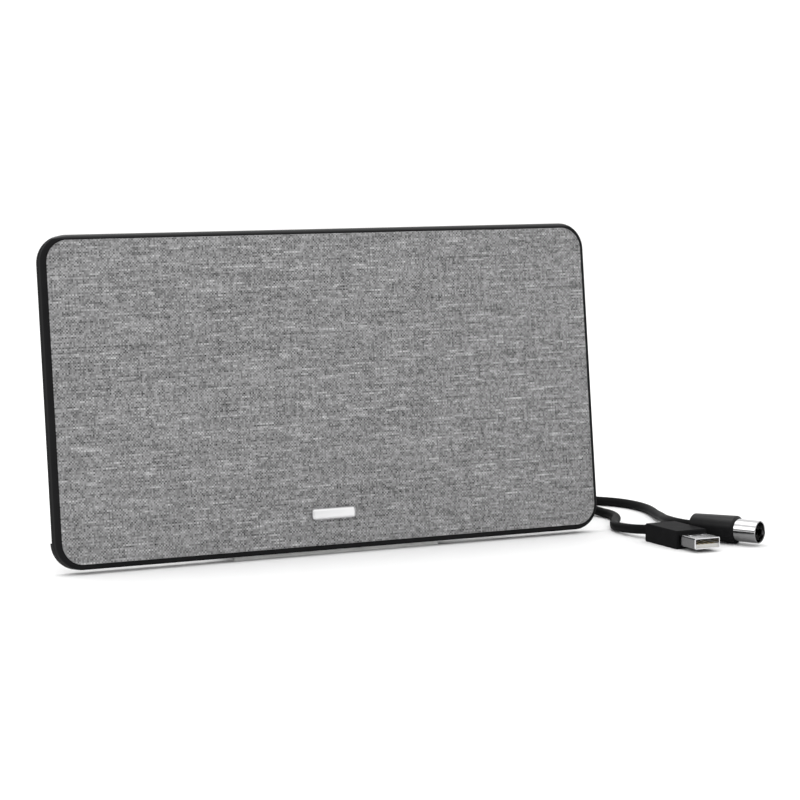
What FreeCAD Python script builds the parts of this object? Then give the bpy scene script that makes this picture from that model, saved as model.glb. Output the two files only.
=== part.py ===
import FreeCAD, Part
import math
import os

Vector = FreeCAD.Vector

# Indoor TV antenna: a slim fabric-fronted panel that leans back on a fold-out foot.
# Millimetres, +Z up. The panel is drawn upright first (x across, y back from the rim's
# front plane, z up from its lower edge) and then leaned back onto the table.

# Panel
panel_width = 244.0
panel_height = 130.6
panel_depth = 7.7
corner_radius = 11.0
rim_width = 2.0
front_round = 1.8
rear_round = 2.0
parting_depth = 4.0
seam_chamfer = 0.25
side_wall = 1.6
back_wall = 1.4
lean_deg = 7.05
floor_gap = 2.0
front_line_y = -28.9

# Cloth front and its carrier
cloth_thickness = 0.5
cloth_proud = 0.4
cloth_gap = 0.1
cloth_round = 0.35
carrier_thickness = 1.3
ledge_width = 4.0
ledge_thickness = 1.0

# Seam tongue of the back shell
tongue_length = 1.1
tongue_thickness = 1.0
fit_gap = 0.1

# Rear pod, which holds the amplifier, the foot and the lead outlets
pod_width = 100.0
pod_bottom = 2.4
pod_top = 67.0
pod_back = 15.7
pod_corner = 7.0
pod_round = 1.0

# Fold-out foot
foot_width = 64.0
foot_tip_width = 56.0
foot_length = 44.0
foot_thickness = 2.8
foot_corner = 6.0
foot_side_gap = 0.4
foot_tip_gap = 0.8
barrel_radius = 1.75
pin_radius = 0.8
pin_clearance = 0.05
hinge_depth = 13.3
hinge_height = 7.0
barrel_gap = 0.25
pin_seat = 4.6
hinge_boss = 5.6
heel_width = 52.0
heel_depth = 1.7
heel_height = 2.8
heel_drop = 0.7
stop_gap = 0.1
pad_width = 48.0
pad_length = 8.0
pad_inset = 2.0
pad_thickness = 1.0

# Rubber strip under the middle of the panel
strip_width = 92.0
strip_depth = 2.2
strip_front = 4.5
strip_groove = 0.8

# Aerial board
board_width = 194.0
board_height = 90.0
board_middle_z = 69.0
board_front = 2.6
board_thickness = 0.8
board_corner = 3.0
copper_thickness = 0.12
loop_inner_x = 7.0
loop_outer_x = 84.0
loop_inner_half = 7.0
loop_outer_half = 34.0
loop_track = 5.0
shield_width = 30.0
shield_height = 22.0
shield_depth = 4.0
shield_sheet = 0.4
shield_middle_z = 46.0

# Screws
board_screw_radius = 0.9
board_head_radius = 1.8
board_head_height = 0.9
board_screw_grip = 1.4
board_boss_radius = 2.4
board_screw_x = 88.0
board_screw_low = 32.0
board_screw_high = 106.0
case_screw_radius = 1.0
case_head_radius = 2.3
case_head_height = 1.2
case_head_sink = 0.4
case_hole_gap = 0.2
case_boss_radius = 3.4
case_screw_inset = 8.5
case_screw_rise = 14.0
case_pilot_floor = 1.9
cross_width = 0.7
cross_length = 2.8
cross_depth = 0.6

# Leads and their outlets
cord_radius = 2.0
gland_neck_radius = 2.6
gland_flange_radius = 3.2
gland_flange = 1.2
gland_boot_root = 3.0
gland_boot_tip = 2.3
gland_length = 11.0
gland_rings = 3
gland_ring_depth = 0.4
gland_ring_width = 1.2
coax_outlet_x = 43.5
coax_outlet_z = 14.0
usb_outlet_depth = 11.0
usb_outlet_z = 13.0

# Aerial plug, lying on the table
coax_plug_radius = 5.9
coax_plug_rear_radius = 5.2
coax_plug_length = 21.1
coax_plug_round = 1.0
coax_sleeve_radius = 4.75
coax_sleeve_wall = 0.5
coax_sleeve_length = 10.3
coax_sleeve_seat = 3.0
coax_sleeve_step = 0.2
coax_insulator_length = 4.0
coax_pin_radius = 1.2
coax_pin_setback = 2.4
coax_mouth = Vector(161.85, -90.67, 0)
coax_yaw_deg = 27.3

# USB power plug, lying on the table
usb_plug_width = 15.0
usb_plug_height = 7.6
usb_plug_length = 24.0
usb_plug_round = 0.7
usb_plug_chamfer = 0.45
usb_shell_width = 12.0
usb_shell_height = 4.5
usb_shell_length = 11.75
usb_shell_seat = 3.0
usb_shell_sheet = 0.35
usb_shell_round = 0.6
usb_window = 2.2
usb_window_spread = 2.9
usb_window_setback = 6.2
usb_tongue_thickness = 1.5
usb_tongue_setback = 0.5
usb_contact_count = 4
usb_contact_width = 1.1
usb_contact_pitch = 2.3
usb_contact_length = 7.5
usb_contact_thickness = 0.2
usb_rear = Vector(133.9, -57.9, 0)
usb_yaw_deg = 0.0

# Put-away coils of lead
coil_floor = 0.8
coil_layers = 4
coil_middle_radius = 20.6
coil_chamfer = 1.0
coax_coil_columns = 3
usb_coil_columns = 3
coax_coil_middle = Vector(68.1, 51.1, 0)
usb_coil_middle = Vector(118.7, 32.7, 0)
tie_width = 6.0
tie_thickness = 0.8
tie_slack = 0.3

# Route of each lead outside its coil
coax_lead_route = [
    (43.5, -0.69, 12.61),
    (43.5, 9.8, 11.1),
    (43.9, 21.4, 8.0),
    (43.9, 34.0, 4.7),
    (43.5, 45.5, 2.9),
]
coax_tail_route = [
    (85.4, 68.4, 14.8),
    (95.2, 63.6, 13.4),
    (106.6, 62.6, 9.9),
    (118.6, 63.6, 6.0),
    (130.4, 62.6, 3.2),
    (142.2, 57.6, 2.05),
    (153.0, 49.2, 2.05),
    (162.2, 38.7, 2.05),
    (168.7, 28.9, 2.05),
    (170.4, 16.6, 2.05),
    (168.3, 3.8, 2.05),
    (162.6, -10.1, 2.3),
    (158.3, -20.9, 3.0),
    (152.8, -31.6, 4.0),
    (148.9, -41.2, 5.0),
    (146.5, -49.2, 5.6),
    (145.8, -56.4, 5.9),
    (147.7, -63.2, 5.9),
]
usb_lead_route = [
    (61.0, -16.39, 13.55),
    (71.5, -15.9, 12.9),
    (82.0, -11.2, 10.9),
    (90.0, -2.0, 8.0),
    (94.2, 10.2, 5.0),
    (95.1, 24.5, 2.9),
]
usb_tail_route = [
    (135.4, 49.4, 14.8),
    (145.0, 41.6, 13.3),
    (149.2, 30.6, 8.4),
    (143.7, 15.2, 2.9),
    (145.5, 6.8, 2.05),
    (145.9, 0.9, 2.05),
    (142.8, -9.3, 2.05),
    (137.8, -15.6, 2.05),
    (129.8, -27.8, 2.05),
    (128.9, -34.4, 2.4),
    (128.8, -45.2, 3.2),
    (132.7, -52.0, 3.7),
    (133.9, -58.6, 3.8),
]

# Sizes that follow from the ones above
overcut = 1.0
same_place = 1e-6
bend_share = 0.45
lean = math.radians(lean_deg)
cloth_back = cloth_thickness - cloth_proud
carrier_back = cloth_back + carrier_thickness
ledge_back = carrier_back + ledge_thickness
wall_inside = panel_depth - back_wall
board_back = board_front + board_thickness
recess_half = foot_width / 2 + foot_side_gap
recess_floor = hinge_depth - barrel_radius - barrel_gap
recess_bottom = hinge_height - barrel_radius - barrel_gap
recess_top = hinge_height + foot_length + foot_tip_gap
liner_inside = recess_floor - back_wall
hinge_y = front_line_y + hinge_height * math.sin(lean) + hinge_depth * math.cos(lean)
hinge_z = floor_gap + hinge_height * math.cos(lean) - hinge_depth * math.sin(lean)
pad_reach = foot_length - pad_inset
droop = math.asin((hinge_z - foot_thickness / 2 - pad_thickness) / pad_reach)
fold_deg = 90 + math.degrees(droop) - lean_deg
case_screw_x = panel_width / 2 - case_screw_inset
case_screw_spots = [
    (side * case_screw_x, height)
    for side in (-1, 1)
    for height in (case_screw_rise, panel_height - case_screw_rise)
]
board_screw_spots = [
    (-board_screw_x, board_screw_low),
    (board_screw_x, board_screw_low),
    (-board_screw_x, board_screw_high),
    (0, board_screw_high),
    (board_screw_x, board_screw_high),
]
case_head_floor = panel_depth - case_head_sink - case_head_height


# Helpers


def box(x0, x1, y0, y1, z0, z1):
    return Part.makeBox(x1 - x0, y1 - y0, z1 - z0, Vector(x0, y0, z0))


def edges_along(shape, axis):
    return [edge for edge in shape.Edges if abs(edge.tangentAt(edge.FirstParameter)[axis]) > 0.999]


def edges_in_plane(shape, axis, value):
    return [
        edge
        for edge in shape.Edges
        if all(abs(vertex.Point[axis] - value) < same_place for vertex in edge.Vertexes)
    ]


def rounded_plate(width, height, radius, front, back, middle_z):
    plate = box(-width / 2, width / 2, front, back, middle_z - height / 2, middle_z + height / 2)
    return plate.makeFillet(radius, edges_along(plate, 1))


def panel_plate(inset, front, back):
    radius = corner_radius - inset
    width = panel_width - 2 * inset
    height = panel_height - 2 * inset
    return rounded_plate(width, height, radius, front, back, panel_height / 2)


def post(x, z, radius, front, back):
    return Part.makeCylinder(radius, back - front, Vector(x, front, z), Vector(0, 1, 0))


def turned(profile, start, direction):
    # Revolves (distance, radius) points about an axis that leaves start along direction
    points = [Vector(radius, 0, distance) for distance, radius in profile]
    face = Part.Face(Part.makePolygon(points + points[:1]))
    solid = face.revolve(Vector(0, 0, 0), Vector(0, 0, 1), 360)
    solid.Placement = FreeCAD.Placement(start, FreeCAD.Rotation(Vector(0, 0, 1), direction))
    return solid


def lean_back(shape):
    leaned = shape.copy()
    leaned.rotate(Vector(0, 0, 0), Vector(1, 0, 0), -lean_deg)
    leaned.translate(Vector(0, front_line_y, floor_gap))
    return leaned


def above_table(shape):
    room = 2 * panel_width
    return shape.common(box(-room, room, -room, room, 0, room))


# Casing


def make_front_bezel():
    bezel = panel_plate(0, 0, parting_depth)
    bezel = bezel.makeChamfer(seam_chamfer, edges_in_plane(bezel, 1, parting_depth))
    bezel = bezel.makeFillet(front_round, edges_in_plane(bezel, 1, 0))
    bezel = bezel.cut(panel_plate(rim_width, -overcut, carrier_back))
    bezel = bezel.cut(panel_plate(rim_width + ledge_width, 0, parting_depth))
    bezel = bezel.cut(panel_plate(side_wall, ledge_back, parting_depth + overcut))
    for x, z in case_screw_spots:
        bezel = bezel.fuse(post(x, z, case_boss_radius, carrier_back, parting_depth))
    for x, z in case_screw_spots:
        bezel = bezel.cut(post(x, z, case_screw_radius, case_pilot_floor, parting_depth + overcut))
    return bezel.removeSplitter()


def make_back_outside():
    slab = panel_plate(0, parting_depth, panel_depth)
    slab = slab.makeChamfer(seam_chamfer, edges_in_plane(slab, 1, parting_depth))
    soft = slab.makeFillet(rear_round, edges_in_plane(slab, 1, panel_depth))
    # The lower corners and the seat of the rubber strip keep a square rear edge
    half = panel_width / 2
    square_zones = [
        box(-half, corner_radius - half, parting_depth, panel_depth, 0, corner_radius),
        box(half - corner_radius, half, parting_depth, panel_depth, 0, corner_radius),
        box(-pod_width / 2, pod_width / 2, parting_depth, panel_depth, 0, corner_radius),
    ]
    pod = rounded_plate(
        pod_width, pod_top - pod_bottom, pod_corner, parting_depth, pod_back, (pod_top + pod_bottom) / 2
    )
    pod = pod.makeFillet(pod_round, edges_in_plane(pod, 1, pod_back))
    return soft.fuse([slab.common(zone) for zone in square_zones] + [pod])


def make_pod_hollow():
    hollow = rounded_plate(
        pod_width - 2 * side_wall,
        pod_top - pod_bottom - 2 * side_wall,
        pod_corner - side_wall,
        parting_depth,
        pod_back - back_wall,
        (pod_top + pod_bottom) / 2,
    )
    liner_half = recess_half + back_wall
    hollow = hollow.cut(box(-liner_half, liner_half, liner_inside, pod_back, 0, recess_top + back_wall))
    boss_half = recess_half + hinge_boss
    boss_top = hinge_height + 2 * barrel_radius
    return hollow.cut(box(-boss_half, boss_half, liner_inside, pod_back, 0, boss_top))


def make_rear_cover():
    cover = make_back_outside()
    cover = cover.cut(panel_plate(side_wall, 0, wall_inside))
    cover = cover.cut(make_pod_hollow())
    cover = cover.cut(
        box(-recess_half, recess_half, recess_floor, pod_back + overcut, recess_bottom, recess_top)
    )
    tongue_inset = side_wall + fit_gap
    tongue = panel_plate(tongue_inset, parting_depth - tongue_length, wall_inside)
    tongue = tongue.cut(panel_plate(tongue_inset + tongue_thickness, 0, wall_inside))
    pieces = [tongue]
    pieces += [post(x, z, case_boss_radius, parting_depth, wall_inside) for x, z in case_screw_spots]
    pieces += [post(x, z, board_boss_radius, board_back, wall_inside) for x, z in board_screw_spots]
    # The tongue stands against the side wall over the shell's own depth
    collar = panel_plate(side_wall, parting_depth, wall_inside)
    pieces.append(collar.cut(panel_plate(tongue_inset, 0, wall_inside)))
    cover = cover.fuse(pieces)
    for x, z in case_screw_spots:
        sink = post(x, z, case_head_radius + case_hole_gap, case_head_floor, panel_depth + overcut)
        hole = post(x, z, case_screw_radius + case_hole_gap, 0, panel_depth)
        cover = cover.cut(sink.fuse(hole))
    for x, z in board_screw_spots:
        cover = cover.cut(post(x, z, board_screw_radius, 0, board_back + board_screw_grip))
    seat = recess_half + pin_seat
    cover = cover.cut(
        Part.makeCylinder(pin_radius, 2 * seat, Vector(-seat, hinge_depth, hinge_height), Vector(1, 0, 0))
    )
    cover = cover.cut(
        Part.makeCylinder(
            gland_neck_radius, 2 * back_wall,
            Vector(coax_outlet_x, pod_back - 2 * back_wall, coax_outlet_z), Vector(0, 1, 0)
        )
    )
    cover = cover.cut(
        Part.makeCylinder(
            gland_neck_radius, 2 * side_wall,
            Vector(pod_width / 2 - 2 * side_wall, usb_outlet_depth, usb_outlet_z), Vector(1, 0, 0)
        )
    )
    half = strip_width / 2
    cover = cover.cut(
        box(-half, half, strip_front, strip_front + strip_depth, -overcut, strip_groove)
    )
    return cover.removeSplitter()


def make_base_strip():
    half = strip_width / 2
    strip = box(-half, half, strip_front, strip_front + strip_depth, -2 * floor_gap, strip_groove)
    return above_table(lean_back(strip))


# Cloth front


def make_fabric_cover():
    cloth = panel_plate(rim_width + cloth_gap, -cloth_proud, carrier_back)
    cloth = cloth.makeFillet(cloth_round, edges_in_plane(cloth, 1, -cloth_proud))
    return cloth.cut(panel_plate(rim_width + cloth_gap + cloth_proud, cloth_back, carrier_back + overcut))


def make_front_panel():
    return panel_plate(rim_width + cloth_gap + cloth_proud, cloth_back, carrier_back)


# Aerial board


def make_antenna_board():
    board = rounded_plate(
        board_width, board_height, board_corner, board_front, board_back, board_middle_z
    )
    for x, z in board_screw_spots:
        board = board.cut(post(x, z, board_screw_radius, 0, panel_depth))
    return board


def make_loop(side):
    def bow(inset):
        slope = (loop_outer_half - loop_inner_half) / (loop_outer_x - loop_inner_x)
        inner = loop_inner_x + inset
        outer = loop_outer_x - inset
        drop = inset * math.sqrt(1 + slope * slope)
        low = loop_inner_half + slope * (inner - loop_inner_x) - drop
        high = loop_inner_half + slope * (outer - loop_inner_x) - drop
        corners = [(inner, -low), (outer, -high), (outer, high), (inner, low)]
        points = [Vector(side * x, board_front - copper_thickness, board_middle_z + z) for x, z in corners]
        face = Part.Face(Part.makePolygon(points + points[:1]))
        return face.extrude(Vector(0, copper_thickness, 0))

    return bow(0).cut(bow(loop_track))


def make_antenna_elements():
    return Part.makeCompound([make_loop(-1), make_loop(1)])


def make_amplifier_shield():
    half = shield_width / 2
    low = shield_middle_z - shield_height / 2
    high = shield_middle_z + shield_height / 2
    can = box(-half, half, board_back, board_back + shield_depth, low, high)
    can = can.makeFillet(shield_sheet, edges_along(can, 1))
    return can.cut(
        box(
            shield_sheet - half, half - shield_sheet,
            board_back, board_back + shield_depth - shield_sheet,
            low + shield_sheet, high - shield_sheet,
        )
    )


# Screws


def make_board_screws():
    screws = []
    for x, z in board_screw_spots:
        head = post(x, z, board_head_radius, board_front - board_head_height, board_front)
        screws.append(head.fuse(post(x, z, board_screw_radius, board_front, board_back + board_screw_grip)))
    return Part.makeCompound(screws)


def make_housing_screws():
    screws = []
    for x, z in case_screw_spots:
        top = case_head_floor + case_head_height
        screw = post(x, z, case_head_radius, case_head_floor, top)
        screw = screw.fuse(post(x, z, case_screw_radius, case_pilot_floor, case_head_floor))
        arm = cross_width / 2
        reach = cross_length / 2
        screw = screw.cut(box(x - arm, x + arm, top - cross_depth, top, z - reach, z + reach))
        screw = screw.cut(box(x - reach, x + reach, top - cross_depth, top, z - arm, z + arm))
        screws.append(screw)
    return Part.makeCompound(screws)


# Fold-out foot, drawn along +Y from its hinge and then turned down to the table


def open_foot(shape):
    opened = shape.copy()
    opened.rotate(Vector(0, 0, 0), Vector(1, 0, 0), -math.degrees(droop))
    opened.translate(Vector(0, hinge_y, hinge_z))
    return opened


def make_stand_foot():
    half = foot_width / 2
    tip = foot_tip_width / 2
    bottom = -foot_thickness / 2
    corners = [(-half, 0), (half, 0), (half, foot_length / 2), (tip, foot_length), (-tip, foot_length)]
    corners.append((-half, foot_length / 2))
    points = [Vector(x, y, bottom) for x, y in corners]
    plate = Part.Face(Part.makePolygon(points + points[:1])).extrude(Vector(0, 0, foot_thickness))
    tip_edges = [
        edge for edge in edges_along(plate, 2) if abs(edge.Vertexes[0].Y - foot_length) < same_place
    ]
    plate = plate.makeFillet(foot_corner, tip_edges)
    barrel = Part.makeCylinder(barrel_radius, foot_width, Vector(-half, 0, 0), Vector(1, 0, 0))
    foot = open_foot(plate.fuse(barrel))
    heel_front = pod_back + stop_gap
    heel_top = hinge_height - heel_drop
    heel = box(
        -heel_width / 2, heel_width / 2,
        heel_front, heel_front + heel_depth,
        heel_top - heel_height, heel_top,
    )
    foot = foot.fuse(lean_back(heel))
    bore = Part.makeCylinder(
        pin_radius + pin_clearance, foot_width, Vector(-half, hinge_y, hinge_z), Vector(1, 0, 0)
    )
    return foot.cut(bore).removeSplitter()


def make_stand_pad():
    under = -foot_thickness / 2
    pad = box(
        -pad_width / 2, pad_width / 2,
        pad_reach - pad_length, pad_reach,
        under - 3 * pad_thickness, under,
    )
    return above_table(open_foot(pad))


def make_hinge_pin():
    seat = recess_half + pin_seat
    return Part.makeCylinder(pin_radius, 2 * seat, Vector(-seat, hinge_y, hinge_z), Vector(1, 0, 0))


# Strain reliefs


def make_gland(start, direction, wall):
    profile = [
        (-wall - gland_flange, 0),
        (-wall - gland_flange, gland_flange_radius),
        (-wall, gland_flange_radius),
        (-wall, gland_neck_radius),
        (0, gland_neck_radius),
        (0, gland_flange_radius),
        (gland_flange, gland_flange_radius),
    ]
    boot = gland_length - gland_flange

    def boot_radius(distance):
        return gland_boot_root + (gland_boot_tip - gland_boot_root) * (distance - gland_flange) / boot

    profile.append((gland_flange, gland_boot_root))
    for ring in range(gland_rings):
        near = gland_flange + boot * (ring + 1) / (gland_rings + 1) - gland_ring_width / 2
        far = near + gland_ring_width
        profile.append((near, boot_radius(near)))
        profile.append((near, boot_radius(near) - gland_ring_depth))
        profile.append((far, boot_radius(far) - gland_ring_depth))
        profile.append((far, boot_radius(far)))
    profile.append((gland_length, gland_boot_tip))
    profile.append((gland_length, 0))
    return turned(profile, start, direction)


def make_coax_gland():
    start = Vector(coax_outlet_x, pod_back, coax_outlet_z)
    return lean_back(make_gland(start, Vector(0, 1, 0), back_wall))


def make_usb_gland():
    start = Vector(pod_width / 2, usb_outlet_depth, usb_outlet_z)
    return lean_back(make_gland(start, Vector(1, 0, 0), side_wall))


# Leads


def route_path(points):
    points = [Vector(*point) for point in points]
    edges = []
    last = points[0]
    radii = []
    for before, corner, after in zip(points, points[1:], points[2:]):
        inward = corner - before
        outward = after - corner
        reach = bend_share * min(inward.Length, outward.Length)
        inward.normalize()
        outward.normalize()
        turn = inward.getAngle(outward)
        radius = reach / math.tan(turn / 2)
        radii.append(radius)
        begin = corner - inward * reach
        end = corner + outward * reach
        toward = (outward - inward).normalize()
        middle = corner + toward * (math.hypot(radius, reach) - radius)
        edges.append(Part.LineSegment(last, begin).toShape())
        edges.append(Part.Arc(begin, middle, end).toShape())
        last = end
    edges.append(Part.LineSegment(last, points[-1]).toShape())
    return Part.Wire(edges), min(radii)


def make_tube(name, points):
    path, tightest = route_path(points)
    start = Vector(*points[0])
    heading = Vector(*points[1]) - start
    ring = Part.Wire(Part.Circle(start, heading, cord_radius).toShape())
    tube = path.makePipeShell([ring], True, False)
    share = tube.Volume / (math.pi * cord_radius**2 * path.Length)
    print("%s: length %.1f, tightest radius %.1f, volume share %.4f" % (name, path.Length, tightest, share))
    return tube


def coil_band(columns):
    half = columns * cord_radius
    return coil_middle_radius - half, coil_middle_radius + half


def make_coil(middle, columns):
    inner, outer = coil_band(columns)
    height = 2 * cord_radius * coil_layers
    base = middle + Vector(0, 0, coil_floor)
    ring = Part.makeCylinder(outer, height, base).cut(Part.makeCylinder(inner, height, base))
    rims = [edge for edge in ring.Edges if isinstance(edge.Curve, Part.Circle)]
    return ring.makeChamfer(coil_chamfer, rims)


def make_tie(middle, columns):
    inner, outer = coil_band(columns)
    top = coil_floor + 2 * cord_radius * coil_layers
    half = tie_width / 2
    near = math.sqrt(inner**2 - half**2) - tie_slack
    far = outer + tie_slack
    band = box(-half, half, -far - tie_thickness, -near + tie_thickness, 0, top + tie_thickness)
    band = band.cut(box(-half, half, -far, -near, coil_floor, top))
    band.translate(middle)
    return band


# Aerial plug


def along_coax(distance):
    # A point on the plug's axis, measured back from its mouth
    yaw = math.radians(coax_yaw_deg)
    back = Vector(-math.sin(yaw), math.cos(yaw), 0)
    return coax_mouth + Vector(0, 0, coax_plug_radius) + back * distance


def coax_turned(profile):
    return turned(profile, along_coax(0), along_coax(1) - along_coax(0))


def make_coax_plug_body():
    front = coax_sleeve_length
    rear = front + coax_plug_length
    seat = front + coax_sleeve_seat
    held = coax_sleeve_radius - coax_sleeve_step
    body = coax_turned([(seat, 0), (rear, 0), (rear, coax_plug_rear_radius), (front, coax_plug_radius),
                        (front, held), (seat, held)])
    rims = [
        edge
        for edge in body.Edges
        if isinstance(edge.Curve, Part.Circle) and edge.Curve.Radius > coax_sleeve_radius
    ]
    return body.makeFillet(coax_plug_round, rims)


def make_coax_plug_sleeve():
    inside = coax_sleeve_radius - coax_sleeve_wall
    front = coax_sleeve_length
    far = front + coax_sleeve_seat
    edge = coax_sleeve_wall / 2
    held = coax_sleeve_radius - coax_sleeve_step
    return coax_turned([(edge, inside), (0, inside + edge), (edge, coax_sleeve_radius),
                        (front, coax_sleeve_radius), (front, held), (far, held), (far, inside)])


def make_coax_plug_insulator():
    inside = coax_sleeve_radius - coax_sleeve_wall
    far = coax_sleeve_length + coax_sleeve_seat
    near = far - coax_insulator_length
    return coax_turned([(near, coax_pin_radius), (near, inside), (far, inside), (far, coax_pin_radius)])


def make_coax_plug_pin():
    far = coax_sleeve_length + coax_sleeve_seat
    nose = coax_pin_setback + coax_pin_radius / 2
    return coax_turned([(coax_pin_setback, 0), (coax_pin_setback, coax_pin_radius / 2),
                        (nose, coax_pin_radius), (far, coax_pin_radius), (far, 0)])


# USB plug, drawn along -Y from the back of its body


def usb_place(shape):
    placed = shape.copy()
    placed.rotate(Vector(0, 0, 0), Vector(0, 0, 1), usb_yaw_deg)
    placed.translate(usb_rear)
    return placed


def usb_block(width, low, high, near, far):
    return box(-width / 2, width / 2, -far, -near, low, high)


usb_axis = usb_plug_height / 2
usb_mouth = usb_plug_length + usb_shell_length
usb_seat = usb_plug_length - usb_shell_seat
shell_low = usb_axis - usb_shell_height / 2
shell_high = usb_axis + usb_shell_height / 2


def usb_shell_outside():
    shell = usb_block(usb_shell_width, shell_low, shell_high, usb_seat, usb_mouth)
    return shell.makeFillet(usb_shell_round, edges_along(shell, 1))


def make_usb_plug_body():
    body = usb_block(usb_plug_width, 0, usb_plug_height, 0, usb_plug_length)
    body = body.makeFillet(usb_plug_round, edges_along(body, 1))
    rims = edges_in_plane(body, 1, 0) + edges_in_plane(body, 1, -usb_plug_length)
    body = body.makeChamfer(usb_plug_chamfer, rims)
    return usb_place(body.cut(usb_shell_outside()))


def make_usb_plug_shell():
    sheet = usb_shell_sheet
    hollow = usb_block(
        usb_shell_width - 2 * sheet, shell_low + sheet, shell_high - sheet, usb_seat, usb_mouth + overcut
    )
    shell = usb_shell_outside().cut(hollow)
    for side in (-1, 1):
        window = usb_block(
            usb_window, shell_high - 2 * sheet, shell_high + overcut,
            usb_mouth - usb_window_setback - usb_window, usb_mouth - usb_window_setback,
        )
        window.translate(Vector(side * usb_window_spread, 0, 0))
        shell = shell.cut(window)
    return usb_place(shell)


tongue_low = shell_low + usb_shell_sheet
tongue_high = tongue_low + usb_tongue_thickness


def make_usb_plug_tongue():
    width = usb_shell_width - 2 * usb_shell_sheet
    return usb_place(
        usb_block(width, tongue_low, tongue_high, usb_seat, usb_mouth - usb_tongue_setback)
    )


def make_usb_plug_contacts():
    far = usb_mouth - 2 * usb_tongue_setback
    contacts = []
    for number in range(usb_contact_count):
        contact = usb_block(
            usb_contact_width, tongue_high, tongue_high + usb_contact_thickness, far - usb_contact_length, far
        )
        place = number - (usb_contact_count - 1) / 2
        contact.translate(Vector(place * usb_contact_pitch, 0, 0))
        contacts.append(usb_place(contact))
    return Part.makeCompound(contacts)


# Everything together

nodes = {
    "front_bezel": lean_back(make_front_bezel()),
    "rear_cover": lean_back(make_rear_cover()),
    "fabric_cover": lean_back(make_fabric_cover()),
    "front_panel": lean_back(make_front_panel()),
    "antenna_board": lean_back(make_antenna_board()),
    "antenna_elements": lean_back(make_antenna_elements()),
    "amplifier_shield": lean_back(make_amplifier_shield()),
    "board_screws": lean_back(make_board_screws()),
    "housing_screws": lean_back(make_housing_screws()),
    "base_strip": make_base_strip(),
    "hinge_pin": make_hinge_pin(),
    "stand_foot": make_stand_foot(),
    "stand_pad": make_stand_pad(),
    "coax_gland": make_coax_gland(),
    "usb_gland": make_usb_gland(),
    "coax_lead": make_tube("coax_lead", coax_lead_route),
    "coax_coil": make_coil(coax_coil_middle, coax_coil_columns),
    "coax_tie": make_tie(coax_coil_middle, coax_coil_columns),
    "coax_tail": make_tube("coax_tail", coax_tail_route),
    "coax_plug_body": make_coax_plug_body(),
    "coax_plug_sleeve": make_coax_plug_sleeve(),
    "coax_plug_insulator": make_coax_plug_insulator(),
    "coax_plug_pin": make_coax_plug_pin(),
    "usb_lead": make_tube("usb_lead", usb_lead_route),
    "usb_coil": make_coil(usb_coil_middle, usb_coil_columns),
    "usb_tie": make_tie(usb_coil_middle, usb_coil_columns),
    "usb_tail": make_tube("usb_tail", usb_tail_route),
    "usb_plug_body": make_usb_plug_body(),
    "usb_plug_shell": make_usb_plug_shell(),
    "usb_plug_tongue": make_usb_plug_tongue(),
    "usb_plug_contacts": make_usb_plug_contacts(),
}

os.makedirs("parts", exist_ok=True)
for name, shape in nodes.items():
    shape.exportStep("parts/%s.step" % name)
    reach = shape.optimalBoundingBox(False)
    print(
        "%-20s solids %d valid %s volume %9.2f  x %.2f %.2f  y %.2f %.2f  z %.2f %.2f"
        % (name, len(shape.Solids), shape.isValid(), shape.Volume, reach.XMin, reach.XMax,
           reach.YMin, reach.YMax, reach.ZMin, reach.ZMax)
    )
print("hinge y %.3f z %.3f, foot folds by %.3f degrees" % (hinge_y, hinge_z, fold_deg))
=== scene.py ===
import math
import bpy
from mathutils import Matrix


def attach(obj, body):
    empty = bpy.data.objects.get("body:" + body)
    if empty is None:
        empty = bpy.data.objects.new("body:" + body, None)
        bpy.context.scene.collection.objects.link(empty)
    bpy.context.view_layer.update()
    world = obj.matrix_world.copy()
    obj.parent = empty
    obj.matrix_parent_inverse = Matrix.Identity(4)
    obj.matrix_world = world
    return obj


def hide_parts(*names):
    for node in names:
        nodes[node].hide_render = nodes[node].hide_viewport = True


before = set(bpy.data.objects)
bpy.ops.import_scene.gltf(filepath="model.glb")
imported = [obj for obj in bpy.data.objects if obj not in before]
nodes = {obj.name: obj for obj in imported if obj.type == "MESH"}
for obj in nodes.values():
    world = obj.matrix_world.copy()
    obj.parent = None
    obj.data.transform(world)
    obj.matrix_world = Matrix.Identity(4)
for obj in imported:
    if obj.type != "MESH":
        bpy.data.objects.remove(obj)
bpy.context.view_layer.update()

print("frame loaded:", len(nodes), "nodes")

mm = 0.001
xAxis, yAxis, zAxis = 0, 1, 2
squareOn = 0.9  # a face looks one way if its normal reaches this far along it
panelStand = {"lean": 7.05, "foot": (0.0, -28.9, 2.0), "height": 130.6}
panelLean = math.radians(panelStand["lean"])


def clearSelection():
    if bpy.context.object and bpy.context.object.mode != "OBJECT":
        bpy.ops.object.mode_set(mode="OBJECT")
    bpy.ops.object.select_all(action="DESELECT")


def leanBack(piece):
    # takes a piece drawn on the upright panel to where the panel stands
    turn = Matrix.Rotation(-panelLean, 4, "X")
    piece.data.transform(Matrix.Translation([value * mm for value in panelStand["foot"]]) @ turn)
    piece.data.update()


# camera

photoCamera = {
    "place": (-0.47373, -1.00534, 0.18169),
    "down": 6.246,  # degrees below level
    "turn": 27.1105,  # degrees to the right of straight ahead
    "lens": 121.5,
    "sensor": 36.0,
    "near": 0.05, "far": 60.0,  # what lies between these shows
}


def addCamera():
    clearSelection()
    down = math.radians(90 - photoCamera["down"])
    turn = math.radians(-photoCamera["turn"])
    bpy.ops.object.camera_add(location=photoCamera["place"], rotation=(down, 0, turn))
    camera = bpy.context.object
    camera.name = "photoCamera"
    camera.data.lens = photoCamera["lens"]
    camera.data.sensor_width = photoCamera["sensor"]
    camera.data.clip_start = photoCamera["near"]
    camera.data.clip_end = photoCamera["far"]
    bpy.context.scene.camera = camera


addCamera()
print("camera set")


# materials

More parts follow.
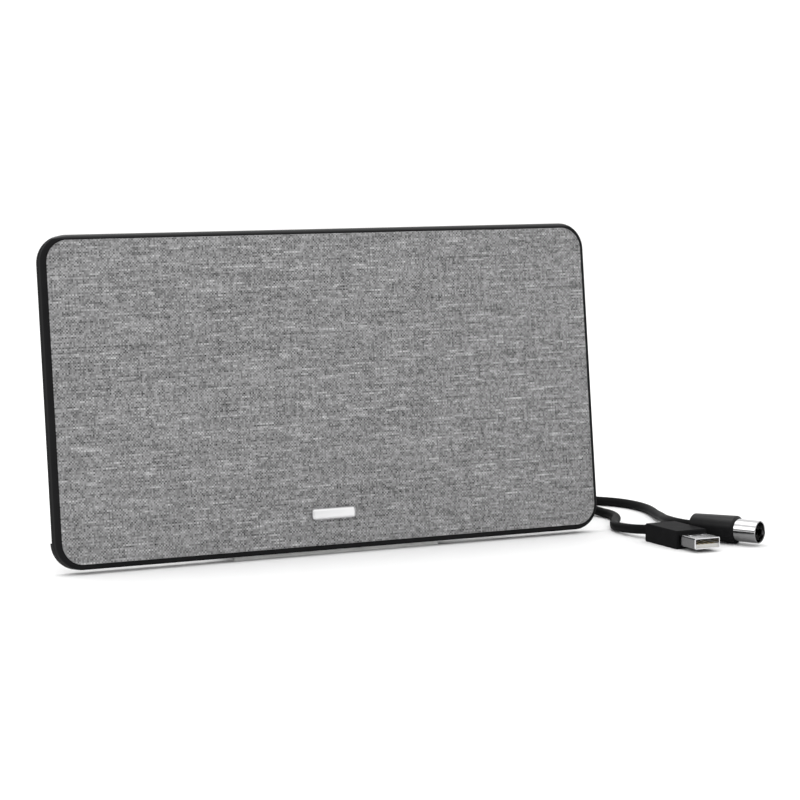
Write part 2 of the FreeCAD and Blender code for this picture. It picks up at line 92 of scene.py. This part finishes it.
class Wire:
    # a socket that takes part in shader sums

    def __init__(self, paint, socket):
        self.paint = paint
        self.socket = socket

    def sum(self, operation, first, second=0.0):
        return self.paint.node("ShaderNodeMath", {"operation": operation}, {0: first, 1: second})

    def __add__(self, other):
        return self.sum("ADD", self, other)

    def __radd__(self, other):
        return self.sum("ADD", other, self)

    def __sub__(self, other):
        return self.sum("SUBTRACT", self, other)

    def __rsub__(self, other):
        return self.sum("SUBTRACT", other, self)

    def __mul__(self, other):
        return self.sum("MULTIPLY", self, other)

    def __rmul__(self, other):
        return self.sum("MULTIPLY", other, self)

    def floor(self):
        return self.sum("FLOOR", self)

    def fract(self):
        return self.sum("FRACT", self)

    def sine(self):
        return self.sum("SINE", self)

    def most(self, other):
        return self.sum("MAXIMUM", self, other)


class Paint:
    # the nodes of one material or of the sky, which end in its shader

    def __init__(self, owner, shader, fixed):
        owner.use_nodes = True
        self.owner = owner
        self.tree = owner.node_tree
        self.shader = self.tree.nodes[shader]
        for socket, value in fixed.items():
            self.shader.inputs[socket].default_value = value

    def node(self, kind, settings=None, values=None, out=0):
        made = self.tree.nodes.new(kind)
        for key, value in (settings or {}).items():
            setattr(made, key, value)
        for socket, value in (values or {}).items():
            if isinstance(value, Wire):
                self.tree.links.new(value.socket, made.inputs[socket])
            else:
                made.inputs[socket].default_value = value
        return Wire(self, made.outputs[out])

    def feed(self, socket, wire):
        self.tree.links.new(wire.socket, self.shader.inputs[socket])

    def spot(self, turn=(0, 0, 0), scale=(1, 1, 1)):
        own = self.node("ShaderNodeTexCoord", out="Object")
        return self.node("ShaderNodeMapping", {"vector_type": "POINT"},
                         {"Vector": own, "Rotation": turn, "Scale": scale})

    def split(self, vector):
        axes = (xAxis, yAxis, zAxis)
        return [self.node("ShaderNodeSeparateXYZ", {}, {0: vector}, out=axis) for axis in axes]

    def join(self, x, y, z):
        return self.node("ShaderNodeCombineXYZ", {}, {0: x, 1: y, 2: z})

    def noise(self, vector, scale=1.0, detail=2.0, rough=0.5):
        # smooth noise about zero
        made = self.node("ShaderNodeTexNoise", {"noise_dimensions": "3D"},
                         {"Vector": vector, "Scale": scale, "Detail": detail, "Roughness": rough})
        return made - 0.5

    def chance(self, vector):
        # one value about zero for each place, unlike its neighbours
        made = self.node("ShaderNodeTexWhiteNoise", {"noise_dimensions": "3D"}, {"Vector": vector},
                         out="Value")
        return made - 0.5

    def tint(self, value, colour):
        parts = [value * share for share in colour]
        return self.node("ShaderNodeCombineColor", {"mode": "RGB"}, dict(enumerate(parts)))

    def ramp(self, value, low, high):
        return self.node("ShaderNodeMapRange", {"interpolation_type": "SMOOTHSTEP"},
                         {"Value": value, "From Min": low, "From Max": high})

    def bump(self, height, strength, distance):
        return self.node("ShaderNodeBump", {}, {"Height": height, "Strength": strength, "Distance": distance})


def newPaint(name, fixed):
    return Paint(bpy.data.materials.new(name), "Principled BSDF", fixed)


def wear(piece, paint):
    piece.data.materials.clear()
    piece.data.materials.append(paint.owner)


satinSkin = {"cloudTone": 0.5, "cloudRough": 0.14, "grainRough": 0.1, "grainDepth": 0.05, "polishRough": 0.3}


def makeSatinPaint(name, look):
    # moulded plastic or rubber: fine spark texture, faint clouding, slightly uneven gloss
    paint = newPaint(name, {"IOR": 1.47, "Specular IOR Level": look["gloss"],
                            "Coat Roughness": satinSkin["polishRough"]})
    place = paint.spot()
    grain = paint.noise(place, look["grain"])
    cloud = paint.noise(place, look["cloud"], detail=4.0, rough=0.55)
    tone = look["tone"] * (1 + cloud * satinSkin["cloudTone"])
    uneven = cloud * satinSkin["cloudRough"] + grain * satinSkin["grainRough"]
    paint.feed("Base Color", paint.tint(tone, look["colour"]))
    paint.feed("Roughness", look["roughness"] + uneven)
    paint.feed("Normal", paint.bump(grain, look["relief"], satinSkin["grainDepth"] * mm))
    if "polish" in look:  # smoother skin on one side of the piece
        polish = look["polish"]
        along = paint.split(paint.spot(turn=(polish["turn"], 0, 0)))[polish["axis"]]
        start, end = polish["span"]
        paint.feed("Coat Weight", paint.ramp(along, start * mm, end * mm) * polish["weight"])
    return paint


metalSkin = {"lineRough": 0.12, "hazeRough": 0.1, "lineDepth": 0.02}


def makeMetalPaint(name, look):
    # plated or drawn metal: fine drawing lines round or along it, a little tarnish, and painted light where
    # zones raise the base colour
    paint = newPaint(name, {"Metallic": 1.0, "IOR": 2.4})
    lines = paint.noise(paint.spot(scale=look["lines"]), detail=3.0, rough=0.6)
    haze = paint.noise(paint.spot(), look["haze"], detail=4.0, rough=0.6)
    tarnishAndPaintedLight = 1 - haze.most(0) * look["tarnish"]
    sides = paint.split(paint.spot())
    for zone in look.get("paintedLight", ()):  # painted light and shade: the base colour is raised past all limits of a zone
        level = zone["level"]
        for axis, before, past in zone["limits"]:
            level = level * paint.ramp(sides[axis], before * mm, past * mm)
        tarnishAndPaintedLight = tarnishAndPaintedLight.most(level)
    uneven = lines * metalSkin["lineRough"] + haze * metalSkin["hazeRough"]
    paint.feed("Base Color", paint.tint(tarnishAndPaintedLight, look["colour"]))
    paint.feed("Roughness", look["roughness"] + uneven)
    paint.feed("Normal", paint.bump(lines, look["relief"], metalSkin["lineDepth"] * mm))
    return paint


# spans and limits are places along an axis, in mm
casingLook = {"colour": (1.0, 1.0, 1.04), "tone": 0.0128, "gloss": 0.006, "roughness": 0.42,
              "grain": 7000.0, "cloud": 60.0, "relief": 0.10,
              "polish": {"axis": yAxis, "turn": panelLean, "span": (-21.9, -21.3), "weight": 0.4}}
rimLook = dict(casingLook, polish={"axis": zAxis, "turn": 0.0, "span": (129.7, 131.0), "weight": 0.9})
rubberLook = {"colour": (1.0, 1.0, 0.985), "tone": 0.88, "gloss": 0.2, "roughness": 0.7,
              "grain": 5200.0, "cloud": 150.0, "relief": 0.25}
padLook = dict(rubberLook, tone=0.3, roughness=0.75)
jacketLook = {"colour": (1.0, 1.0, 1.03), "tone": 0.0095, "gloss": 0.018, "roughness": 0.5,
              "grain": 5200.0, "cloud": 140.0, "relief": 0.10}
plugLook = {"colour": (1.0, 1.0, 1.05), "tone": 0.0105, "gloss": 0.005, "roughness": 0.42,
            "grain": 8000.0, "cloud": 220.0, "relief": 0.12}
gripLook = dict(plugLook, gloss=0.01, roughness=0.5,
                polish={"axis": zAxis, "turn": 0.0, "span": (6.2, 11.2), "weight": 0.45})
tongueLook = {"colour": (1.0, 0.99, 0.95), "tone": 0.52, "gloss": 0.3, "roughness": 0.45,
              "grain": 6000.0, "cloud": 300.0, "relief": 0.05}
boardLook = {"colour": (0.16, 1.0, 0.42), "tone": 0.10, "gloss": 0.5, "roughness": 0.35,
             "grain": 3000.0, "cloud": 90.0, "relief": 0.15}
carrierLook = {"colour": (1.0, 1.0, 1.0), "tone": 0.02, "gloss": 0.4, "roughness": 0.6,
               "grain": 4000.0, "cloud": 80.0, "relief": 0.1}
# coax sleeve: a dark base colour with a brighter upper half, painted light and shade
chromeLook = {"colour": (0.21, 0.21, 0.212), "roughness": 0.12, "lines": (900.0, 900.0, 9000.0),
              "haze": 260.0, "tarnish": 0.12, "relief": 0.03,
              "paintedLight": ({"limits": ((zAxis, 5.0, 6.6),), "level": 2.5},)}  # painted light on the upper half; the dark lower half is painted shade
steelLook = {"colour": (0.42, 0.42, 0.43), "roughness": 0.34, "lines": (2500.0, 2500.0, 9000.0),
             "haze": 500.0, "tarnish": 0.3, "relief": 0.08}
# USB shell: its dark base colour is painted shade on the sides; its zones paint light on the mouth, top and
# inside
shellLook = {"colour": (0.14, 0.14, 0.142), "roughness": 0.2, "lines": (900.0, 9000.0, 900.0),
             "haze": 260.0, "tarnish": 0.12, "relief": 0.04,
             "paintedLight": ({"limits": ((yAxis, -92.9, -93.5),), "level": 4.4},  # painted highlight on the mouth rim
                        {"limits": ((zAxis, 5.8, 6.0),), "level": 3.0},  # painted light on the top
                        {"limits": ((xAxis, 127.9, 128.2), (xAxis, 139.9, 139.6),
                                    (zAxis, 1.55, 1.85), (zAxis, 6.05, 5.75)), "level": 6.0})}  # painted light inside the shell
goldLook = {"colour": (0.55, 0.43, 0.22), "roughness": 0.2, "lines": (900.0, 6000.0, 900.0),
            "haze": 700.0, "tarnish": 0.2, "relief": 0.03}
copperLook = {"colour": (0.80, 0.42, 0.25), "roughness": 0.32, "lines": (4000.0, 4000.0, 4000.0),
              "haze": 120.0, "tarnish": 0.35, "relief": 0.05}

casingPaint = makeSatinPaint("casingPlastic", casingLook)
rimPaint = makeSatinPaint("rimPlastic", rimLook)
rubberPaint = makeSatinPaint("stripRubber", rubberLook)
padPaint = makeSatinPaint("padRubber", padLook)
jacketPaint = makeSatinPaint("cordJacket", jacketLook)
plugPaint = makeSatinPaint("plugPlastic", plugLook)
gripPaint = makeSatinPaint("gripPlastic", gripLook)
tonguePaint = makeSatinPaint("plugInsulator", tongueLook)
boardPaint = makeSatinPaint("aerialBoard", boardLook)
carrierPaint = makeSatinPaint("clothCarrier", carrierLook)
chromePaint = makeMetalPaint("plugChrome", chromeLook)
shellPaint = makeMetalPaint("plugNickel", shellLook)
steelPaint = makeMetalPaint("screwSteel", steelLook)
goldPaint = makeMetalPaint("contactGold", goldLook)
copperPaint = makeMetalPaint("aerialCopper", copperLook)

nodePaints = {
    "front_bezel": rimPaint, "rear_cover": casingPaint, "stand_foot": casingPaint,
    "base_strip": rubberPaint, "stand_pad": padPaint,
    "coax_gland": jacketPaint, "usb_gland": jacketPaint, "coax_tie": jacketPaint, "usb_tie": jacketPaint,
    "coax_plug_body": gripPaint, "usb_plug_body": plugPaint,
    "coax_plug_sleeve": chromePaint, "coax_plug_pin": chromePaint, "usb_plug_shell": shellPaint,
    "coax_plug_insulator": tonguePaint, "usb_plug_tongue": tonguePaint, "usb_plug_contacts": goldPaint,
    "housing_screws": steelPaint, "board_screws": steelPaint, "hinge_pin": steelPaint,
    "amplifier_shield": steelPaint, "antenna_board": boardPaint, "antenna_elements": copperPaint,
    "front_panel": carrierPaint,
}
for nodeName, paint in nodePaints.items():
    wear(nodes[nodeName], paint)
print("finishes made")


# leads, each one a smooth line through its route and its put-away coil

coaxCord = {
    "name": "coaxCord",
    "lead": [
        (43.5, -0.69, 12.61), (43.5, 9.8, 11.1), (43.9, 21.4, 8.0), (43.9, 34.0, 4.7), (43.5, 45.5, 2.9),
    ],
    "coil": {"middle": (68.1, 51.1), "outer": 24.6, "inner": 16.6, "turns": 9.375},
    "tail": [
        (85.4, 68.4, 14.8), (95.2, 63.6, 13.4), (106.6, 62.6, 9.9), (118.6, 63.6, 6.0),
        (130.4, 62.6, 3.2), (142.2, 57.6, 2.05), (153.0, 49.2, 2.05), (162.2, 38.7, 2.05),
        (168.7, 28.9, 2.05), (170.4, 16.6, 2.05), (168.3, 3.8, 2.05), (162.6, -10.1, 2.3),
        (158.3, -20.9, 3.0), (152.8, -31.6, 4.0), (148.9, -41.2, 5.0), (146.5, -49.2, 5.6),
        (145.8, -56.4, 5.9), (147.7, -63.2, 5.9),
    ],
    "length": 1.45, "stiffness": "medium",
    "replaces": ("coax_lead", "coax_coil", "coax_tail"),
    "carries": ("coax_plug_body", "coax_plug_sleeve", "coax_plug_insulator", "coax_plug_pin", "coax_tie"),
}

usbCord = {
    "name": "usbCord",
    "lead": [
        (61.0, -16.39, 13.55), (71.5, -15.9, 12.9), (82.0, -11.2, 10.9), (90.0, -2.0, 8.0),
        (94.2, 10.2, 5.0), (95.1, 24.5, 2.9),
    ],
    "coil": {"middle": (118.7, 32.7), "outer": 23.6, "inner": 18.4, "turns": 6.375},
    "tail": [
        (135.4, 49.4, 14.8), (145.0, 41.6, 13.3), (149.2, 30.6, 8.4), (143.7, 15.2, 2.9),
        (145.5, 6.8, 2.05), (145.9, 0.9, 2.05), (142.8, -9.3, 2.05), (137.8, -15.6, 2.05),
        (129.8, -27.8, 2.05), (128.9, -34.4, 2.4), (128.8, -45.2, 3.2), (132.7, -52.0, 3.7),
        (133.9, -58.6, 3.8),
    ],
    "length": 1.02, "stiffness": "limp",
    "replaces": ("usb_lead", "usb_coil", "usb_tail"),
    "carries": ("usb_plug_body", "usb_plug_shell", "usb_plug_tongue", "usb_plug_contacts", "usb_tie"),
}

cordSize = {
    "radius": 2.0, "roundSteps": 5, "lineSteps": 6, "lineOrder": 3,
    "layers": 4, "floor": 0.8, "steps": 16,  # points in one turn of a coil
    "climb": 0.25,  # share of a turn that takes the cord up to the next layer
}


def coilPoints(coil):
    # winds clockwise from the left, outside to inside and back, one layer on the next
    points = []
    share = coil["turns"] / cordSize["layers"]
    steps = int(coil["turns"] * cordSize["steps"])
    stretch = 2 / (1 + math.cos(math.pi / cordSize["steps"]))  # the line runs inside its points
    for step in range(steps):
        turn = step / cordSize["steps"]
        layer = min(int(turn / share), cordSize["layers"] - 1)
        along = turn - layer * share
        wound = min(along / (share - cordSize["climb"]), 1)
        rise = max(along - share + cordSize["climb"], 0) / cordSize["climb"]
        first, last = coil["outer"], coil["inner"]
        if layer % 2:
            first, last = last, first
        if layer == cordSize["layers"] - 1:
            rise = 0
        radius = (first + (last - first) * wound) * stretch
        angle = math.pi - 2 * math.pi * turn
        height = cordSize["floor"] + cordSize["radius"] * (1 + 2 * (layer + rise))
        points.append((coil["middle"][0] + radius * math.cos(angle),
                       coil["middle"][1] + radius * math.sin(angle), height))
    return points


def makeCord(plan):
    points = plan["lead"] + coilPoints(plan["coil"]) + plan["tail"]
    line = bpy.data.curves.new(plan["name"], "CURVE")
    line.dimensions = "3D"
    line.bevel_depth = cordSize["radius"] * mm
    line.bevel_resolution = cordSize["roundSteps"]
    line.resolution_u = cordSize["lineSteps"]
    line.use_fill_caps = True
    spline = line.splines.new("NURBS")
    spline.points.add(len(points) - 1)
    for spot, place in zip(spline.points, points):
        spot.co = (*[value * mm for value in place], 1)
    spline.order_u = cordSize["lineOrder"]
    spline.use_endpoint_u = True
    cord = bpy.data.objects.new(plan["name"], line)
    bpy.context.scene.collection.objects.link(cord)
    wear(cord, jacketPaint)
    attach(cord, "panel")
    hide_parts(*plan["replaces"])


makeCord(coaxCord)
makeCord(usbCord)
print("leads laid")


# cloth front: a thin sheet pulled over the carrier and round its edge

clothFront = {
    "width": 239.8, "height": 126.4, "corner": 8.9, "cornerSteps": 12,
    "front": -0.4, "back": 1.35, "edge": 0.35, "edgeSteps": 4, "thickness": 0.36, "smooth": 35,
}

# reach: how fast the noise runs across and up the cloth, in threads; weight: its share in the tone
clothWeave = {
    "pitch": 0.66,  # thread to thread
    "colour": (1.0, 0.998, 1.006), "tone": 0.2225, "darkest": 0.02,
    "check": 0.34,  # between threads on top and below
    "speckle": {"seed": 3.7, "weight": 0.85},
    "weft": {"reach": (0.075, 7.31), "seed": 1.3, "detail": 2.0, "rough": 0.6, "weight": 1.1},
    "warp": {"reach": (5.77, 0.13), "seed": 9.1, "detail": 2.0, "rough": 0.6, "weight": 0.68},
    "hidden": 0.55,  # what a thread loses where it lies below
    "dash": {"span": (0.08, 0.2), "hidden": 0.4, "weight": 0.62},
    "slubWeft": {"reach": (0.018, 3.17), "seed": 4.4, "detail": 1.0, "rough": 0.5, "weight": 0.72},
    "slubWarp": {"reach": (2.93, 0.022), "seed": 6.6, "detail": 1.0, "rough": 0.5, "weight": 0.432},
    "cloud": {"reach": (0.02, 0.05), "seed": 0.0, "detail": 3.0, "rough": 0.5, "weight": 0.14},
    "roughness": 0.9, "uneven": 0.1,
    "relief": {"speckle": 0.35, "slub": 1.2, "strength": 0.1, "depth": 0.08},
}


def yarnNoise(paint, across, up, yarn):
    place = paint.join(across * yarn["reach"][0], up * yarn["reach"][1], yarn["seed"])
    return paint.noise(place, detail=yarn["detail"], rough=yarn["rough"])


def makeClothPaint():
    paint = newPaint("greyCloth", {"IOR": 1.4, "Specular IOR Level": 0.12, "Sheen Weight": 0.06,
                                   "Sheen Roughness": 0.5})
    weave = clothWeave
    threads = 1 / (weave["pitch"] * mm)
    sides = paint.split(paint.spot(turn=(panelLean, 0, 0), scale=(threads,) * 3))
    across, up = sides[xAxis], sides[zAxis]
    warpId = across.floor()
    weftId = up.floor()
    # 1 where the warp lies on top in a cell of the plain weave, 0 where the weft does
    onTop = ((warpId + weftId) * 0.5).fract() * 2
    speckle = paint.chance(paint.join(warpId, weftId, weave["speckle"]["seed"]))
    # yarn that changes tone along its own length
    weft = yarnNoise(paint, across, weftId, weave["weft"])
    warp = yarnNoise(paint, warpId, up, weave["warp"])
    slubWeft = yarnNoise(paint, across, weftId, weave["slubWeft"])
    slubWarp = yarnNoise(paint, warpId, up, weave["slubWarp"])
    cloud = yarnNoise(paint, across, up, weave["cloud"])
    dashes = paint.ramp(weft, *weave["dash"]["span"]) * (1 - onTop * weave["dash"]["hidden"])
    weftSeen = weft * (1 - onTop * weave["hidden"])
    warpSeen = warp * (1 - weave["hidden"] + onTop * weave["hidden"])
    change = (0.5 - onTop) * weave["check"]
    for value, layer in ((speckle, "speckle"), (weftSeen, "weft"), (warpSeen, "warp"), (dashes, "dash"),
                         (slubWeft, "slubWeft"), (slubWarp, "slubWarp"), (cloud, "cloud")):
        change = change + value * weave[layer]["weight"]
    tone = (weave["tone"] * (1 + change)).most(weave["darkest"])
    paint.feed("Base Color", paint.tint(tone, weave["colour"]))
    paint.feed("Roughness", weave["roughness"] + speckle * weave["uneven"])
    # round threads, each crown where its thread is on top
    relief = weave["relief"]
    crownWeft = (up.fract() * math.pi).sine() * (1 - onTop)
    crownWarp = (across.fract() * math.pi).sine() * onTop
    height = crownWeft + crownWarp + speckle * relief["speckle"] + slubWeft * relief["slub"]
    paint.feed("Normal", paint.bump(height, relief["strength"], relief["depth"] * mm))
    return paint


def makeCloth():
    clearSelection()
    bpy.ops.mesh.primitive_plane_add(size=1, location=(0, 0, 0))
    cloth = bpy.context.object
    cloth.name = "clothFront"
    bpy.ops.object.mode_set(mode="EDIT")
    bpy.ops.mesh.select_all(action="SELECT")
    bpy.ops.transform.resize(value=(clothFront["width"] * mm, clothFront["height"] * mm, 1))
    bpy.ops.mesh.bevel(offset=clothFront["corner"] * mm, segments=clothFront["cornerSteps"],
                       affect="VERTICES")
    wrap = clothFront["back"] - clothFront["front"]
    bpy.ops.mesh.extrude_region_move(TRANSFORM_OT_translate={"value": (0, 0, wrap * mm)})
    bpy.ops.mesh.region_to_loop()
    bpy.ops.mesh.bevel(offset=clothFront["edge"] * mm, segments=clothFront["edgeSteps"], affect="EDGES")
    bpy.ops.mesh.select_all(action="DESELECT")
    bpy.ops.object.mode_set(mode="OBJECT")
    for face in cloth.data.polygons:
        face.select = face.normal.z < -squareOn
    bpy.ops.object.mode_set(mode="EDIT")
    bpy.ops.mesh.delete(type="FACE")  # open at the back, as cloth is
    bpy.ops.object.mode_set(mode="OBJECT")
    # drawn lying down: stand it up with its face to the front
    upright = Matrix.Rotation(math.radians(90), 4, "X")
    lift = Matrix.Translation((0, clothFront["back"] * mm, panelStand["height"] / 2 * mm))
    cloth.data.transform(lift @ upright)
    wall = cloth.modifiers.new("wall", "SOLIDIFY")
    wall.thickness = clothFront["thickness"] * mm
    wall.offset = -1
    wall.use_even_offset = True
    bpy.ops.object.modifier_apply(modifier="wall")
    leanBack(cloth)
    bpy.ops.object.shade_smooth_by_angle(angle=math.radians(clothFront["smooth"]))
    wear(cloth, makeClothPaint())
    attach(cloth, "panel")
    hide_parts("fabric_cover")


makeCloth()
print("cloth stretched")


# small plain plate low on the cloth

blankPlate = {
    "width": 19.4, "height": 4.5, "depth": 1.4, "middle": (-3.6, 14.9), "sink": 0.1,
    "corner": 1.2, "cornerSteps": 6, "edge": 0.3, "edgeSteps": 3, "smooth": 40,
}
plateLook = {"colour": (0.78, 0.78, 0.785), "roughness": 0.36, "lines": (60.0, 9000.0, 9000.0),
             "haze": 300.0, "tarnish": 0.05, "relief": 0.05}


def makePlate():
    clearSelection()
    bpy.ops.mesh.primitive_cube_add(size=1, location=(0, 0, 0))
    plate = bpy.context.object
    plate.name = "blankPlate"
    bpy.ops.object.mode_set(mode="EDIT")
    bpy.ops.mesh.select_all(action="SELECT")
    bpy.ops.transform.resize(value=[blankPlate[side] * mm for side in ("width", "depth", "height")])
    bpy.ops.object.mode_set(mode="OBJECT")
    half = blankPlate["depth"] / 2 * mm
    for edge in plate.data.edges:
        ends = [plate.data.vertices[index].co for index in edge.vertices]
        edge.select = abs(ends[0].y - ends[1].y) > half
    for corner in plate.data.vertices:
        corner.select = False
    for face in plate.data.polygons:
        face.select = False
    bpy.ops.object.mode_set(mode="EDIT")
    bpy.ops.mesh.select_mode(type="EDGE")
    bpy.ops.mesh.bevel(offset=blankPlate["corner"] * mm, segments=blankPlate["cornerSteps"], affect="EDGES")
    bpy.ops.mesh.select_all(action="DESELECT")
    bpy.ops.object.mode_set(mode="OBJECT")
    for face in plate.data.polygons:
        face.select = face.normal.y < -squareOn
    bpy.ops.object.mode_set(mode="EDIT")
    bpy.ops.mesh.select_mode(type="FACE")
    bpy.ops.mesh.region_to_loop()
    bpy.ops.mesh.bevel(offset=blankPlate["edge"] * mm, segments=blankPlate["edgeSteps"], affect="EDGES")
    bpy.ops.object.mode_set(mode="OBJECT")
    along, up = blankPlate["middle"]
    front = clothFront["front"] - blankPlate["depth"] / 2 + blankPlate["sink"]
    plate.data.transform(Matrix.Translation((along * mm, front * mm, up * mm)))
    leanBack(plate)
    bpy.ops.object.shade_smooth_by_angle(angle=math.radians(blankPlate["smooth"]))
    wear(plate, makeMetalPaint("plateMetal", plateLook))
    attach(plate, "panel")


makePlate()
print("plate set")


# floor and light

studio = {
    "floor": 60.0, "white": 0.93,
    "sky": {"light": 1.22, "dark": 0.8, "toward": (-0.75, -0.66), "facing": (0.0, 0.7),
            "level": (0.04, 0.1), "high": (0.1, 0.45)},
    "lamps": [
        {"name": "topLamp", "place": (-0.1, 0.35, 1.6), "aim": (0.0, -0.05, 0.0), "size": 1.2, "power": 7.0},
        {"name": "leftLamp", "place": (-1.7, 0.1, 1.0), "aim": (0.1, -0.05, 0.02), "size": 0.9, "power": 4.0},
    ],
}


def makeSky():
    # white all round but for a darker stretch in front and to the left, just above the horizon
    plan = studio["sky"]
    world = bpy.data.worlds.new("studioSky")
    bpy.context.scene.world = world
    sky = Paint(world, "Background", {"Color": (1, 1, 1, 1)})
    x, y, z = sky.split(sky.node("ShaderNodeTexCoord", out="Generated"))
    aside, ahead = plan["toward"]
    facing = sky.ramp(x * aside + y * ahead, *plan["facing"])
    lowDown = sky.ramp(z, *plan["level"]) * (1 - sky.ramp(z, *plan["high"]))
    sky.feed("Strength", plan["light"] * (1 - facing * lowDown * plan["dark"]))


def makeStudio():
    clearSelection()
    bpy.ops.mesh.primitive_plane_add(size=studio["floor"])
    floor = bpy.context.object
    floor.name = "studioFloor"
    wear(floor, newPaint("studioWhite", {"Base Color": (studio["white"],) * 3 + (1,), "Roughness": 0.7,
                                         "Specular IOR Level": 0.15}))
    for plan in studio["lamps"]:
        clearSelection()
        bpy.ops.object.light_add(type="AREA", location=plan["place"])
        lamp = bpy.context.object
        lamp.name = plan["name"]
        lamp.data.shape = "DISK"
        lamp.data.size = plan["size"]
        lamp.data.energy = plan["power"]
        reach = [aim - place for aim, place in zip(plan["aim"], plan["place"])]
        tilt = math.atan2(math.hypot(reach[xAxis], reach[yAxis]), -reach[zAxis])
        lamp.rotation_euler = (tilt, 0, math.atan2(-reach[xAxis], reach[yAxis]))
    makeSky()
    bpy.context.scene.view_settings.view_transform = "Standard"


makeStudio()
print("studio set")
